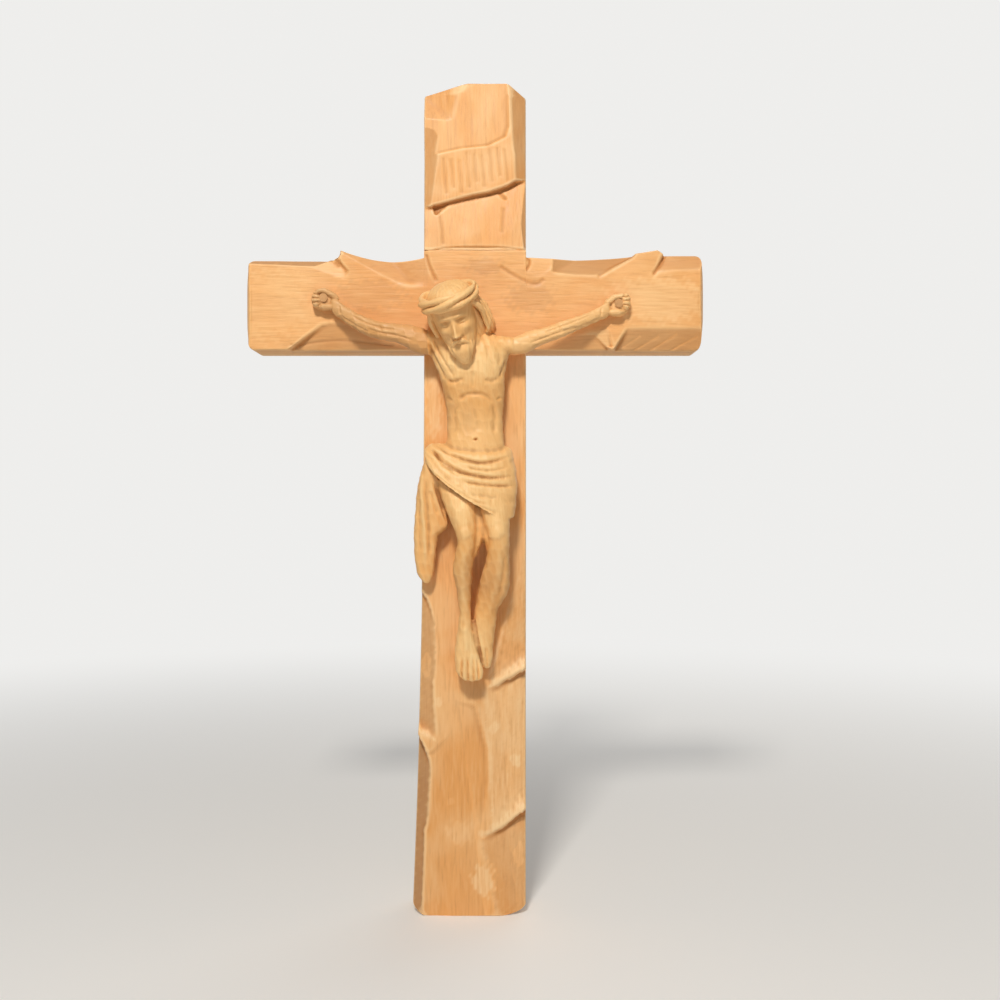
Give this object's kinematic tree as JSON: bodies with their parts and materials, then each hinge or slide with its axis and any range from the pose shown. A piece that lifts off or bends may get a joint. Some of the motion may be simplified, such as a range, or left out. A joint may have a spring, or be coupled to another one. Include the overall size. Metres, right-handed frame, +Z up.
{
  "type": "wall crucifix",
  "caption": "Carved wooden wall crucifix: half-lapped adzed beams carry a carved figure with outstretched arms; it hangs by a hole drilled in its flat back.",
  "frame": {"origin": "middle of the hanging hole's mouth, on the flat back of the upright", "axes": "+Z up along the upright, +Y out of the flat back towards the wall, so the carved front faces -Y, and +X to the right of someone facing the front"},
  "size_m": [0.171, 0.0478, 0.31],
  "materials": {
    "beam_wood": "waxed, satin",
    "figure_wood": "waxed, satin",
    "dowel_wood": "bare, matt",
    "screw_steel": "plain zinc"
  },
  "bodies": {
    "root": {"upright": "beam_wood", "crossbeam": "beam_wood", "figure": "figure_wood", "arm_left": "figure_wood", "arm_right": "figure_wood", "shoulder_dowel_left": "dowel_wood", "shoulder_dowel_right": "dowel_wood", "hand_peg_left": "dowel_wood", "hand_peg_right": "dowel_wood", "lap_dowel_left": "dowel_wood", "lap_dowel_right": "dowel_wood", "figure_screw_upper": "screw_steel", "figure_screw_lower": "screw_steel"}
  },
  "joints": []
}
